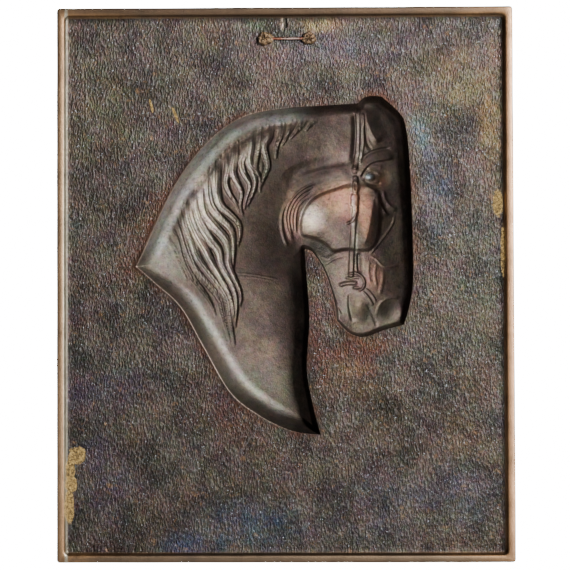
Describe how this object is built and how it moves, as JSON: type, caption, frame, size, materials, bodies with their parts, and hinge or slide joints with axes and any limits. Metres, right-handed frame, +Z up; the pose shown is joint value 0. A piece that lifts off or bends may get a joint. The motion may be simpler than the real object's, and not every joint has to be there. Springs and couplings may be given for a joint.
{
  "type": "relief plaque",
  "caption": "Cast bronze relief plaque of a bridled horse's head, hollow behind, with a raised back rim and a copper wire to hang it by.",
  "frame": {"origin": "on the wall plane, under the middle of the hanging wire, where a nail carries it", "axes": "+Z up, +X to the right as the back is seen, +Y away from the wall towards the front of the relief"},
  "size_m": [0.28, 0.0246, 0.34],
  "materials": {
    "bronze": "dark brown patina, worn along the rim",
    "copper": "drawn wire, tarnished"
  },
  "bodies": {
    "root": {"plaque_casting": "bronze", "hanging_wire": "copper"}
  },
  "joints": []
}
